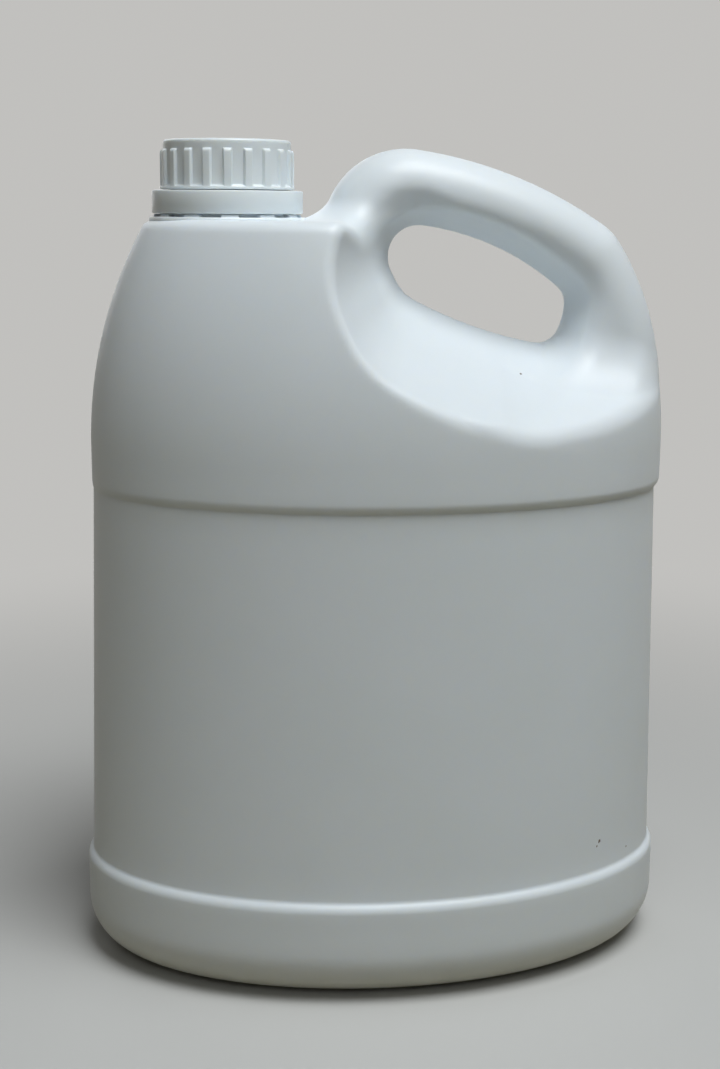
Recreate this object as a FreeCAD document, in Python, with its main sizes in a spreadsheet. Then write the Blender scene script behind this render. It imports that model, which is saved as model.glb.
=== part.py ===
import FreeCAD, Part
import math
import os
import re
from collections import namedtuple

import Sketcher
from FreeCAD import Placement, Rotation, Vector

# Blow-moulded 3.5-litre bottle with a hollow side handle, a screw cap and a tamper ring.
# Millimetres. +Z is up, X runs along the bottle's width (neck at -X, handle at +X) and the
# mould parts at Y = 0. The origin is the centre of the base, on the standing surface.

# Driving sizes. A height called "drop" is measured down from the shoulder platform, a
# distance called "in" from the nearer side of the upper body towards the middle.
SIZES = {
    # blown wall and the oval body, from the base up
    "wall": 1.2,
    "band_half_width": 98.6,
    "band_half_depth": 60.1,
    "band_height": 35.5,
    "band_rim_radius": 3.6,
    "base_corner_radius": 18.0,
    "standing_ring_width": 7.6,
    "push_up_height": 3.5,
    "push_up_slope": 3.0,
    "panel_half_width_low": 96.8,
    "panel_half_depth_low": 58.3,
    "panel_half_width_high": 93.6,
    "panel_half_depth_high": 56.4,
    "panel_overlap": 5.0,
    "panel_top": 157.9,
    "step_radius": 4.3,
    "upper_half_width": 94.6,
    "upper_half_depth": 57.8,
    "upper_offset": 0.6,
    "shoulder_start": 173.0,
    "shoulder_side_radius": 145.0,
    "shoulder_front_radius": 205.0,
    "platform_height": 245.0,
    "platform_rim_radius": 5.0,
    # handle: its outline on the parting plane, then its section
    "handle_crown_x": 8.0,
    "handle_crown_drop": 3.7,
    "handle_crown_radius": 26.3,
    "handle_back_bow": 147.0,
    "handle_heel_in": 31.3,
    "handle_heel_drop": 15.3,
    "handle_heel_radius": 17.2,
    "handle_side_bow": 91.0,
    "handle_side_in": 34.4,
    "handle_side_drop": 63.5,
    "handle_side_radius": 33.0,
    "handle_inner_bow": 200.0,
    "handle_root_x": 2.0,
    "handle_root_drop": 27.0,
    "handle_root_radius": 20.0,
    "handle_foot_drop": 35.0,
    "handle_half_depth": 15.0,
    "handle_edge_radius": 13.0,
    "handle_inner_bevel": 9.0,
    "handle_flare_radius": 7.0,
    # finger hole: its outline on the parting plane, which opens outwards by the draft
    "draft_angle": 25.6,
    "hole_crown_x": 12.6,
    "hole_crown_drop": 11.3,
    "hole_crown_radius": 9.5,
    "hole_top_bow": 88.0,
    "hole_heel_in": 36.7,
    "hole_heel_drop": 23.3,
    "hole_heel_radius": 2.5,
    "hole_side_bow": 21.0,
    "hole_foot_in": 42.2,
    "hole_foot_drop": 31.9,
    "hole_foot_radius": 7.0,
    "hole_bottom_bow": 146.0,
    "hole_root_x": 17.4,
    "hole_root_drop": 13.5,
    "hole_root_radius": 12.7,
    "hole_root_bow": 242.0,
    "hole_lip_radius": 2.5,
    # hollow that sets the handle's foot back into the body, with the same draft
    "relief_rise": 17.0,
    "relief_crown_x": 39.0,
    "relief_reach": 20.0,
    "relief_corner_radius": 12.0,
    "relief_side_drop": 33.0,
    "relief_foot_in": 43.2,
    "relief_foot_drop": 14.0,
    "relief_foot_radius": 25.0,
    "relief_bow": 5000.0,
    "tool_reach": 75.0,
    # neck finish, on an upright axis of its own; heights from here on start at the platform
    "neck_in": 45.0,
    "mouth_radius": 15.5,
    "boss_radius": 25.0,
    "boss_height": 0.8,
    "lug_count": 12,
    "lug_radius": 23.4,
    "lug_width": 5.4,
    "lug_height": 0.9,
    "collar_radius": 21.6,
    "collar_height": 6.5,
    "neck_radius": 17.6,
    "neck_height": 21.0,
    "bead_radius": 18.9,
    "bead_height": 1.0,
    # tamper ring, left on the neck; its lip rests on the collar, under the bead
    "ring_radius": 24.0,
    "ring_clearance": 0.3,
    "ring_lip_height": 2.5,
    "ring_lip_clearance": 0.8,
    "ring_lug_clearance": 0.2,
    # screw cap and the liner in it, which seals on the neck's rim
    "cap_gap": 0.3,
    "cap_radius": 20.2,
    "cap_bore_radius": 19.3,
    "cap_top_thickness": 2.3,
    "cap_edge": 0.6,
    "rib_count": 20,
    "rib_width": 2.6,
    "rib_proud": 1.0,
    "rib_top_drop": 2.9,
    "rib_chamfer": 0.8,
    "ledge_height": 1.0,
    "ledge_proud": 1.1,
    "liner_radius": 18.9,
    "liner_thickness": 1.2,
}

# Outlines on the parting plane, clockwise. Each corner is (across, up, corner radius, radius
# of the bow that runs from it to the next corner); a bow meets both of its corners smoothly.
UPPER_SIDE = "upper_offset + upper_half_width"
NECK_X = "upper_offset - upper_half_width + neck_in"
HANDLE_OUTLINE = [
    (
        "handle_crown_x",
        "platform_height - handle_crown_drop",
        "handle_crown_radius",
        "handle_back_bow",
    ),
    (
        f"{UPPER_SIDE} - handle_heel_in",
        "platform_height - handle_heel_drop",
        "handle_heel_radius",
        "handle_side_bow",
    ),
    (
        f"{UPPER_SIDE} - handle_side_in",
        "platform_height - handle_side_drop",
        "handle_side_radius",
        "handle_inner_bow",
    ),
    (
        "handle_root_x",
        "platform_height - handle_root_drop",
        "handle_root_radius",
        "handle_inner_bow",
    ),
]
HOLE_OUTLINE = [
    (
        "hole_crown_x",
        "platform_height - hole_crown_drop",
        "hole_crown_radius",
        "hole_top_bow",
    ),
    (
        f"{UPPER_SIDE} - hole_heel_in",
        "platform_height - hole_heel_drop",
        "hole_heel_radius",
        "hole_side_bow",
    ),
    (
        f"{UPPER_SIDE} - hole_foot_in",
        "platform_height - hole_foot_drop",
        "hole_foot_radius",
        "hole_bottom_bow",
    ),
    (
        "hole_root_x",
        "platform_height - hole_root_drop",
        "hole_root_radius",
        "hole_root_bow",
    ),
]
RELIEF_OUTLINE = [
    (
        "relief_crown_x",
        "platform_height + relief_rise",
        "relief_corner_radius",
        "relief_bow",
    ),
    (
        f"{UPPER_SIDE} + relief_reach",
        "platform_height + relief_rise",
        "relief_corner_radius",
        "relief_bow",
    ),
    (
        f"{UPPER_SIDE} + relief_reach",
        "platform_height - relief_side_drop",
        "relief_corner_radius",
        "relief_bow",
    ),
    (
        f"{UPPER_SIDE} - relief_foot_in",
        "platform_height - relief_foot_drop",
        "relief_foot_radius",
        "relief_bow",
    ),
]

AXIS = "0"
SHOULDER_STEPS = 6
EDGE_STEPS = 4
TOUCHING = 0.01
VERTICAL_PLANE = Placement(Vector(0, 0, 0), Rotation(Vector(1, 0, 0), 90))

# A skin of the blown wall: its name, how far it lies below the outer surface (as a formula
# and as a number), the same depth across a drafted face, and the steps round its base corner.
Skin = namedtuple("Skin", "tag inset depth drafted_inset drafted_depth steps")
OUTER = Skin("outer", "0", 0.0, "0", 0.0, 8)
INNER = Skin(
    "inner",
    "wall",
    SIZES["wall"],
    "wall / cos(draft_angle)",
    SIZES["wall"] / math.cos(math.radians(SIZES["draft_angle"])),
    3,
)

doc = FreeCAD.newDocument("HandleBottle")


def fill_sheet():
    """Write the driving sizes into the document's spreadsheet, one named cell each."""
    sheet = doc.addObject("Spreadsheet::Sheet", "Sizes")
    for row, (name, value) in enumerate(SIZES.items(), 1):
        sheet.set(f"A{row}", name)
        sheet.set(f"B{row}", repr(value))
        sheet.setAlias(f"B{row}", name)
    doc.recompute()


def on_sheet(formula):
    """The document's expression for a formula written in the names of sizes."""
    return re.sub(
        r"[a-z]\w+", lambda found: f"Sizes.{found[0]}" if found[0] in SIZES else found[0], formula
    )


def amount(formula):
    """The value of a formula that only adds and subtracts sizes."""
    total = 0.0
    sign = 1
    for word in formula.split():
        if word in ("+", "-"):
            sign = 1 if word == "+" else -1
        elif word != AXIS:
            total += sign * SIZES[word]
    return total


def bind(item, formulas):
    """Tie properties of an object to formulas on the sheet."""
    for name, formula in formulas.items():
        item.setExpression(name, on_sheet(formula))
    return item


# ---------------------------------------------------------------- solids and booleans


def oval(name, half_width, half_depth, height, across="0"):
    """A level ellipse, one section of the body."""
    section = doc.addObject("Part::Ellipse", name)
    formulas = {
        "MajorRadius": half_width,
        "MinorRadius": half_depth,
        "Placement.Base.x": across,
        "Placement.Base.z": height,
    }
    return bind(section, formulas)


def loft(name, sections, ruled=True):
    """A solid through level sections, straight between them or smooth."""
    body = doc.addObject("Part::Loft", name)
    body.Sections = sections
    body.Solid = True
    body.Ruled = ruled
    return body


def fuse(name, shapes):
    """One solid from overlapping ones."""
    joined = doc.addObject("Part::MultiFuse", name)
    joined.Shapes = shapes
    return joined


def cut(name, base, tool):
    """The base without the tool's space."""
    result = doc.addObject("Part::Cut", name)
    result.Base = base
    result.Tool = tool
    return result


def treat_edges(name, kind, base, reach, chosen):
    """Fillet or chamfer the edges of base for which chosen(edge) is true."""
    doc.recompute()
    treated = doc.addObject(kind, name)
    treated.Base = base
    treated.Edges = [
        (number, reach, reach) for number, edge in enumerate(base.Shape.Edges, 1) if chosen(edge)
    ]
    return treated


def is_level(edge, height):
    """Whether an edge lies level at a height."""
    box = edge.BoundBox
    return abs(box.ZMin - height) < TOUCHING and box.ZLength < TOUCHING


def is_upright(edge, depth):
    """Whether an edge lies in a plane at a depth each side of the parting plane."""
    box = edge.BoundBox
    return abs(abs(box.Center.y) - depth) < TOUCHING and box.YLength < TOUCHING


# ---------------------------------------------------------------- bowed outlines


def bow_centre(first, second, radius):
    """Centre of the bow that holds two corner circles and touches both."""
    (x1, z1, r1), (x2, z2, r2) = first, second
    span = math.hypot(x2 - x1, z2 - z1)
    ux, uz = (x2 - x1) / span, (z2 - z1) / span
    along = ((radius - r1) ** 2 - (radius - r2) ** 2 + span**2) / (2 * span)
    aside = math.sqrt((radius - r1) ** 2 - along**2)
    return x1 + along * ux + aside * uz, z1 + along * uz - aside * ux


def touch_point(centre, corner):
    """Where the bow about a centre touches a corner circle."""
    dx, dz = corner[0] - centre[0], corner[1] - centre[1]
    reach = corner[2] / math.hypot(dx, dz)
    return corner[0] + dx * reach, corner[1] + dz * reach


def arc(centre, radius, start, end):
    """The counter-clockwise arc from start to end."""
    angles = [math.atan2(p[1] - centre[1], p[0] - centre[0]) for p in (start, end)]
    circle = Part.Circle(Vector(centre[0], centre[1], 0), Vector(0, 0, 1), radius)
    return Part.ArcOfCircle(circle, *angles)


def fix(sketch, constraint, formula):
    """Add a dimension to a sketch and tie it to a formula."""
    number = sketch.addConstraint(constraint)
    sketch.setExpression(f"Constraints[{number}]", on_sheet(formula))


def bowed_sketch(name, outline, growth, grown_by):
    """A closed sketch of corner arcs and bows, all grown by a formula and its value."""
    sketch = doc.addObject("Sketcher::SketchObject", name)
    sketch.Placement = VERTICAL_PLANE
    count = len(outline)
    corners = [
        (amount(across), amount(up), amount(radius) + grown_by)
        for across, up, radius, bow in outline
    ]
    bows = [amount(bow) + grown_by for across, up, radius, bow in outline]
    centres = [bow_centre(corners[i - 1], corners[i], bows[i - 1]) for i in range(count)]
    for i, corner in enumerate(corners):
        before, after = centres[i], centres[(i + 1) % count]
        following = corners[(i + 1) % count]
        sketch.addGeometry(
            arc(corner[:2], corner[2], touch_point(after, corner), touch_point(before, corner))
        )
        sketch.addGeometry(
            arc(after, bows[i], touch_point(after, following), touch_point(after, corner))
        )
    for i in range(count):
        corner, bow, following = 2 * i, 2 * i + 1, (2 * i + 2) % (2 * count)
        sketch.addConstraint(Sketcher.Constraint("Tangent", corner, 1, bow, 2))
        sketch.addConstraint(Sketcher.Constraint("Tangent", bow, 1, following, 2))
    for i, (across, up, radius, bow) in enumerate(outline):
        x, z, corner_radius = corners[i]
        corner = 2 * i
        fix(sketch, Sketcher.Constraint("DistanceX", -1, 1, corner, 3, x), across)
        fix(sketch, Sketcher.Constraint("DistanceY", -1, 1, corner, 3, z), up)
        fix(
            sketch,
            Sketcher.Constraint("Radius", corner, corner_radius),
            f"{radius} + {growth}",
        )
        fix(sketch, Sketcher.Constraint("Radius", corner + 1, bows[i]), f"{bow} + {growth}")
    return sketch


def mould_core(name, sketch, reach, draft=None):
    """Extrude a sketch both ways from the parting plane, widening by the draft."""
    core = doc.addObject("Part::Extrusion", name)
    core.Base = sketch
    core.DirMode = "Normal"
    core.Solid = True
    core.FaceMakerClass = "Part::FaceMakerBullseye"
    bind(core, {"LengthFwd": reach, "LengthRev": reach})
    if draft:
        bind(core, {"TaperAngle": draft, "TaperAngleRev": draft})
    return core


# ---------------------------------------------------------------- the blown form


def edge_sections(name, width, depth, edge_height, radius, way, steps, across="0"):
    """Ovals round a quarter turn, from the upright wall in to a level edge."""
    sections = []
    for step in range(steps + 1):
        turn = math.pi / 2 * step / steps
        drawn_in = f"({radius}) * {1 - math.cos(turn):.6f}"
        from_edge = f"({radius}) * {1 - math.sin(turn):.6f}"
        sections.append(
            oval(
                f"{name}_{step}",
                f"{width} - {drawn_in}",
                f"{depth} - {drawn_in}",
                f"{edge_height} {way} {from_edge}",
                across,
            )
        )
    return sections


def shoulder(skin, foot):
    """The skirt from its rounded foot, then the side and front arcs up to the platform."""
    tag, inset = skin.tag, skin.inset
    sections = []
    for step in range(SHOULDER_STEPS + 1):
        rise = f"(platform_height - {inset} - shoulder_start) * {step} / {SHOULDER_STEPS}"
        side_fall = f"(shoulder_side_radius - sqrt(shoulder_side_radius^2 - ({rise})^2))"
        front_fall = f"(shoulder_front_radius - sqrt(shoulder_front_radius^2 - ({rise})^2))"
        sections.append(
            oval(
                f"{tag}_shoulder_{step}",
                f"upper_half_width - {inset} - {side_fall}",
                f"upper_half_depth - {inset} - {front_fall}",
                f"shoulder_start + {rise}",
                "upper_offset",
            )
        )
    skirt = loft(f"{tag}_skirt", [sections[0], *foot])
    return [skirt, loft(f"{tag}_shoulder", sections, ruled=False)]


def torso(skin):
    """The oval body of a skin: base band, drawn-in panel, and shoulder up to the platform."""
    tag, inset = skin.tag, skin.inset
    width, depth = f"band_half_width - {inset}", f"band_half_depth - {inset}"
    corner = f"base_corner_radius - {inset}"
    corner_ovals = edge_sections(f"{tag}_foot", width, depth, inset, corner, "+", skin.steps)
    band_top = f"band_height - {inset}"
    rim = f"band_rim_radius - {inset}"
    rim_ovals = edge_sections(f"{tag}_rim", width, depth, band_top, rim, "-", EDGE_STEPS)
    panel_ovals = [
        oval(
            f"{tag}_panel_{end}",
            f"panel_half_width_{end} - {inset}",
            f"panel_half_depth_{end} - {inset}",
            height,
        )
        for end, height in (
            ("low", f"{band_top} - panel_overlap"),
            ("high", f"panel_top + {inset} + panel_overlap"),
        )
    ]
    skirt_foot = edge_sections(
        f"{tag}_skirt_foot",
        f"upper_half_width - {inset}",
        f"upper_half_depth - {inset}",
        f"panel_top + {inset}",
        f"step_radius - {inset}",
        "+",
        EDGE_STEPS,
        "upper_offset",
    )
    body = fuse(
        f"{tag}_torso",
        [
            loft(f"{tag}_base_corner", corner_ovals),
            loft(f"{tag}_band", [corner_ovals[0], *rim_ovals]),
            loft(f"{tag}_panel", panel_ovals),
            *shoulder(skin, skirt_foot),
        ],
    )
    body.Refine = True
    return body


def handle_bar(skin):
    """The handle as a rounded slab on the parting plane, ending inside the body."""
    tag, inset = skin.tag, skin.inset
    half_depth = SIZES["handle_half_depth"] - skin.depth
    outline = bowed_sketch(f"{tag}_handle_outline", HANDLE_OUTLINE, f"-({inset})", -skin.depth)
    slab = mould_core(f"{tag}_handle_slab", outline, f"handle_half_depth - {inset}")
    treat, reach = (
        ("Part::Fillet", SIZES["handle_edge_radius"])
        if skin is OUTER
        else ("Part::Chamfer", SIZES["handle_inner_bevel"])
    )
    bar = treat_edges(
        f"{tag}_handle_bevelled", treat, slab, reach, lambda edge: is_upright(edge, half_depth)
    )
    below_hole = doc.addObject("Part::Box", f"{tag}_below_hole")
    bind(
        below_hole,
        {
            "Length": f"band_half_width + {UPPER_SIDE} - hole_foot_in",
            "Width": "2 * band_half_depth",
            "Height": "platform_height - handle_foot_drop",
            "Placement.Base.x": "-band_half_width",
            "Placement.Base.y": "-band_half_depth",
        },
    )
    return cut(f"{tag}_handle_bar", bar, below_hole)


def blown_form(skin):
    """A whole skin of the bottle: torso, set-back handle and drafted finger hole."""
    tag = skin.tag
    top = amount("platform_height")
    body = torso(skin)
    if skin is OUTER:
        body = treat_edges(
            "platform_rim",
            "Part::Fillet",
            body,
            SIZES["platform_rim_radius"],
            lambda edge: is_level(edge, top),
        )
    grow = (skin.drafted_inset, skin.drafted_depth)
    relief_outline = bowed_sketch(f"{tag}_relief_outline", RELIEF_OUTLINE, *grow)
    relief = mould_core(f"{tag}_relief", relief_outline, "tool_reach", "draft_angle")
    form = fuse(f"{tag}_handled", [cut(f"{tag}_relieved", body, relief), handle_bar(skin)])
    if skin is OUTER:
        side = SIZES["handle_half_depth"] + TOUCHING
        form = treat_edges(
            "handle_flare",
            "Part::Fillet",
            form,
            SIZES["handle_flare_radius"],
            lambda edge: is_level(edge, top)
            and -side < edge.BoundBox.YMin
            and edge.BoundBox.YMax < side
            and edge.BoundBox.XMax < SIZES["relief_crown_x"],
        )
    hole_outline = bowed_sketch(f"{tag}_hole_outline", HOLE_OUTLINE, *grow)
    hole = mould_core(f"{tag}_hole", hole_outline, "tool_reach", "draft_angle")
    form = cut(f"{tag}_holed", form, hole)
    if skin is OUTER:
        doc.recompute()
        around = hole_outline.Shape.BoundBox
        form = treat_edges(
            "hole_lip",
            "Part::Fillet",
            form,
            SIZES["hole_lip_radius"],
            lambda edge: is_upright(edge, 0.0)
            and around.isInside(edge.BoundBox.Center)
            and edge.Length > SIZES["hole_lip_radius"],
        )
    return form


def push_up(skin):
    """The raised middle of the base, thickened by the skin's depth."""
    tag, inset = skin.tag, skin.inset
    ends = [
        oval(
            f"{tag}_push_up_{end}",
            f"band_half_width - base_corner_radius - standing_ring_width - {slope} + {inset}",
            f"band_half_depth - base_corner_radius - standing_ring_width - {slope} + {inset}",
            height,
        )
        for end, slope, height in (
            ("foot", "0", "0"),
            ("head", "push_up_slope", f"push_up_height + {inset}"),
        )
    ]
    return loft(f"{tag}_push_up", ends)


# ---------------------------------------------------------------- turned pieces


def turned_sketch(body, name, vertices):
    """A closed profile in the body's XZ plane through vertices (out from the axis, up)."""
    plane = next(part for part in body.Origin.OriginFeatures if part.Role == "XZ_Plane")
    sketch = body.newObject("Sketcher::SketchObject", name)
    sketch.AttachmentSupport = [(plane, "")]
    sketch.MapMode = "FlatFace"
    places = [(amount(out), amount(up)) for out, up in vertices]
    count = len(vertices)
    for i, place in enumerate(places):
        start, end = Vector(*place, 0), Vector(*places[(i + 1) % count], 0)
        sketch.addGeometry(Part.LineSegment(start, end))
    for i in range(count):
        sketch.addConstraint(Sketcher.Constraint("Coincident", i, 2, (i + 1) % count, 1))
    for i, (out, up) in enumerate(vertices):
        x, z = places[i]
        if out == AXIS:
            sketch.addConstraint(Sketcher.Constraint("PointOnObject", i, 1, -2))
        else:
            fix(sketch, Sketcher.Constraint("DistanceX", -1, 1, i, 1, x), out)
        fix(sketch, Sketcher.Constraint("DistanceY", -1, 1, i, 1, z), up)
    return sketch


def turned_body(name, vertices):
    """A body turned about the neck's axis; its heights start at the platform."""
    body = doc.addObject("PartDesign::Body", name)
    body.Label = name
    bind(body, {"Placement.Base.x": NECK_X, "Placement.Base.z": "platform_height"})
    sketch = turned_sketch(body, f"{name}_profile", vertices)
    turning = body.newObject("PartDesign::Revolution", f"{name}_turned")
    turning.Profile = sketch
    turning.ReferenceAxis = (sketch, ["V_Axis"])
    turning.Angle = 360
    doc.recompute()
    return body


def add_ribs(body, name, vertices, width, number):
    """Pad a radial profile to a width and repeat it round the body's axis."""
    sketch = turned_sketch(body, f"{name}_profile", vertices)
    rib = body.newObject("PartDesign::Pad", name)
    rib.Profile = sketch
    rib.Midplane = True
    bind(rib, {"Length": width})
    doc.recompute()
    ring = body.newObject("PartDesign::PolarPattern", f"{name}_pattern")
    ring.Originals = [rib]
    ring.Axis = (next(part for part in body.Origin.OriginFeatures if part.Role == "Z_Axis"), [""])
    ring.Angle = 360
    bind(ring, {"Occurrences": number})
    body.Tip = ring
    doc.recompute()
    return body


# Heights above the platform that several pieces share
RING_TOP = "collar_height + ring_lip_height"
SKIRT_FOOT = f"{RING_TOP} + cap_gap"
CEILING = "neck_height + liner_thickness"
CAP_TOP = f"{CEILING} + cap_top_thickness"


def make_neck():
    """The neck finish, solid to its axis: boss with lugs, collar, and tube with its bead."""
    bead_top = f"{SKIRT_FOOT} + bead_height"
    neck = turned_body(
        "neck_finish",
        [
            (AXIS, "- wall"),
            ("boss_radius", "- wall"),
            ("boss_radius", "boss_height"),
            ("collar_radius", "boss_height"),
            ("collar_radius", "collar_height"),
            ("neck_radius", "collar_height"),
            ("neck_radius", SKIRT_FOOT),
            ("bead_radius", SKIRT_FOOT),
            ("bead_radius", bead_top),
            ("neck_radius", bead_top),
            ("neck_radius", "neck_height"),
            (AXIS, "neck_height"),
        ],
    )
    lug_top = "boss_height + lug_height"
    lug = [
        ("neck_radius", "- wall"),
        ("lug_radius", "- wall"),
        ("lug_radius", lug_top),
        ("neck_radius", lug_top),
    ]
    return add_ribs(neck, "lug", lug, "lug_width", "lug_count")


def make_bottle():
    """The whole blown bottle: outer skin and neck, less the inner skin and the mouth."""
    outside = fuse("outside", [blown_form(OUTER), make_neck()])
    solid = cut("solid_bottle", outside, push_up(OUTER))
    hollow = cut("hollow", blown_form(INNER), push_up(INNER))
    mouth = doc.addObject("Part::Cylinder", "mouth")
    bind(
        mouth,
        {
            "Radius": "mouth_radius",
            "Height": "2 * neck_height",
            "Placement.Base.x": NECK_X,
            "Placement.Base.z": "platform_height - neck_height / 2",
        },
    )
    bottle = cut("bottle", cut("hollowed_bottle", solid, hollow), mouth)
    bottle.Label = "bottle"
    return bottle


def make_tamper_ring():
    """The ring that stays behind on the neck, hung by its lip on the collar."""
    foot = "boss_height + lug_height + ring_lug_clearance"
    bore, lip = "collar_radius + ring_clearance", "neck_radius + ring_lip_clearance"
    return turned_body(
        "tamper_ring",
        [
            (bore, foot),
            ("ring_radius", foot),
            ("ring_radius", RING_TOP),
            (lip, RING_TOP),
            (lip, "collar_height"),
            (bore, "collar_height"),
        ],
    )


def make_cap():
    """The screw cap: a drum with a foot ledge, ribs round its side and a chamfered top."""
    ledge, ledge_top = "cap_radius + ledge_proud", f"{SKIRT_FOOT} + ledge_height"
    cap = turned_body(
        "cap",
        [
            ("cap_bore_radius", SKIRT_FOOT),
            (ledge, SKIRT_FOOT),
            (ledge, ledge_top),
            ("cap_radius", ledge_top),
            ("cap_radius", f"{CAP_TOP} - cap_edge"),
            ("cap_radius - cap_edge", CAP_TOP),
            (AXIS, CAP_TOP),
            (AXIS, CEILING),
            ("cap_bore_radius", CEILING),
        ],
    )
    root, crest = "cap_radius - cap_edge", "cap_radius + rib_proud"
    rib_top = f"{CAP_TOP} - rib_top_drop"
    rib = [
        (root, SKIRT_FOOT),
        (crest, SKIRT_FOOT),
        (crest, f"{rib_top} - rib_chamfer"),
        ("cap_radius", rib_top),
        (root, rib_top),
    ]
    return add_ribs(cap, "rib", rib, "rib_width", "rib_count")


def make_liner():
    """The sealing disc between the cap's ceiling and the neck's rim."""
    return turned_body(
        "cap_liner",
        [
            (AXIS, "neck_height"),
            ("liner_radius", "neck_height"),
            ("liner_radius", CEILING),
            (AXIS, CEILING),
        ],
    )


def write_steps(pieces):
    """Check the whole document, then write each piece to its own file."""
    doc.recompute()
    for item in doc.Objects:
        if {"Invalid", "Error"} & set(item.State):
            raise RuntimeError(f"{item.Label} could not be built: {item.State}")
    for piece in pieces:
        if piece.Shape.isNull() or not piece.Shape.isValid() or len(piece.Shape.Solids) != 1:
            raise RuntimeError(f"{piece.Label} is not one valid solid")
    os.makedirs("parts", exist_ok=True)
    for piece in pieces:
        piece.Shape.exportStep(f"parts/{piece.Label}.step")
        print(f"{piece.Label}: {piece.Shape.Volume / 1000:.2f} cm3")


fill_sheet()
write_steps([make_bottle(), make_tamper_ring(), make_cap(), make_liner()])
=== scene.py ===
"""Dress a blown HDPE bottle with a side handle, its tamper ring and its ribbed screw cap."""

import logging
import math
from contextlib import contextmanager
from dataclasses import dataclass, field
from enum import Enum
from typing import Iterator, Sequence

import bmesh
import bpy
import numpy as np
from mathutils import Matrix, Vector


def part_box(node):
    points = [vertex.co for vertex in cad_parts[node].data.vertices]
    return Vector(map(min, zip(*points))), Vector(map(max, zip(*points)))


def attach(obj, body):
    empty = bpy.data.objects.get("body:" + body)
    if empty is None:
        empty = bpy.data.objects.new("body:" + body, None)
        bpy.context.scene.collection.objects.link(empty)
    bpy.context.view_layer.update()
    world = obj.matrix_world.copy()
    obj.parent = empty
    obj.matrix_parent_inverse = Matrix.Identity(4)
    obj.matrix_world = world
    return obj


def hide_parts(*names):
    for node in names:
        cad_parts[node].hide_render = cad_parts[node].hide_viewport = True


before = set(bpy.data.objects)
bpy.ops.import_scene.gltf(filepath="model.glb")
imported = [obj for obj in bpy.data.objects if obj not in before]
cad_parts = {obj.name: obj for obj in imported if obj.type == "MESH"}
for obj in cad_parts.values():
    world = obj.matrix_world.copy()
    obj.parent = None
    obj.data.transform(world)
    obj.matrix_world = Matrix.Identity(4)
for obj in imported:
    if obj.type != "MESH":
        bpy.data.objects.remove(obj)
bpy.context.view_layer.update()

log = logging.getLogger("bottle")

# Sizes are millimetres in the frame of the part; meshes are built in metres.
MM = 0.001
FAR = 1000.0
TINY = 1e-9
WELD = 0.01
ROUND_STEPS = 192


class BodyName(Enum):
    """The moving bodies of the frame."""

    BOTTLE = "bottle_body"
    CAP = "turning_cap"


class Slot(Enum):
    """Names for the material slots of the bottle and the cap."""

    BOTTLE = "bottle_plastic"
    CAP = "cap_plastic"


class Cut(Enum):
    """How one closed solid acts on another."""

    ADD = "UNION"
    REMOVE = "DIFFERENCE"


def round_node(name: str) -> tuple[float, float, float, float]:
    """The axis on X, the radius, the foot and the top of a round CAD node, in millimetres."""
    low, high = (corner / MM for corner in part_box(name))
    return (low.x + high.x) / 2, (high.x - low.x) / 2, low.z, high.z


# ---------------------------------------------------------------- modelling by hand


def deselect_all() -> None:
    """Leave object mode with nothing selected."""
    if bpy.context.object and bpy.context.object.mode != "OBJECT":
        bpy.ops.object.mode_set(mode="OBJECT")
    bpy.ops.object.select_all(action="DESELECT")


def pick(*pieces: bpy.types.Object) -> None:
    """Select these pieces alone, the first of them active."""
    deselect_all()
    for piece in pieces:
        piece.select_set(True)
    bpy.context.view_layer.objects.active = pieces[0]


@contextmanager
def editing(piece: bpy.types.Object) -> Iterator[None]:
    """Edit a piece, with its whole mesh selected at first."""
    pick(piece)
    bpy.ops.object.mode_set(mode="EDIT")
    bpy.ops.mesh.select_all(action="SELECT")
    yield
    bpy.ops.object.mode_set(mode="OBJECT")


def face_outwards() -> None:
    """Turn every face of the mesh in hand outwards."""
    bpy.ops.mesh.select_all(action="SELECT")
    bpy.ops.mesh.normals_make_consistent(inside=False)


def stack_rings(name: str, rings: Sequence[np.ndarray], capped: bool = True) -> bpy.types.Object:
    """Extrude a disc through a stack of rings into a closed solid.

    Args:
        name: the object's name.
        rings: equally long rows of points in millimetres, each ring the same way round.
        capped: whether the last ring keeps its face.

    Returns:
        The new object.
    """
    deselect_all()
    bpy.ops.mesh.primitive_circle_add(vertices=len(rings[0]), fill_type="NGON")
    solid = bpy.context.object
    solid.name = name
    solid.data.name = name
    with editing(solid):
        for number, ring in enumerate(rings):
            if number:
                bpy.ops.mesh.extrude_region_move()
            cage = bmesh.from_edit_mesh(solid.data)
            for corner, spot in zip([v for v in cage.verts if v.select], ring):
                corner.co = Vector(spot) * MM
        if not capped:
            bpy.ops.mesh.delete(type="ONLY_FACE")
        face_outwards()
    return solid


def spin_section(
    name: str, section: Sequence[tuple[float, float]], axis_x: float, steps: int
) -> bpy.types.Object:
    """Spin a closed section round an upright axis.

    Args:
        name: the object's name.
        section: corners of the section as (out from the axis, height).
        axis_x: where the axis stands on X.
        steps: how many steps make the full turn.

    Returns:
        The new object.
    """
    deselect_all()
    bpy.ops.mesh.primitive_circle_add(vertices=len(section), fill_type="NOTHING")
    piece = bpy.context.object
    piece.name = name
    for corner, (out, up) in zip(piece.data.vertices, section):
        corner.co = Vector((axis_x + out, 0, up)) * MM
    with editing(piece):
        centre = (axis_x * MM, 0, 0)
        bpy.ops.mesh.spin(steps=steps, angle=math.tau, center=centre, axis=(0, 0, 1))
        bpy.ops.mesh.select_all(action="SELECT")
        bpy.ops.mesh.remove_doubles(threshold=WELD * MM)
        face_outwards()
    return piece


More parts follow.
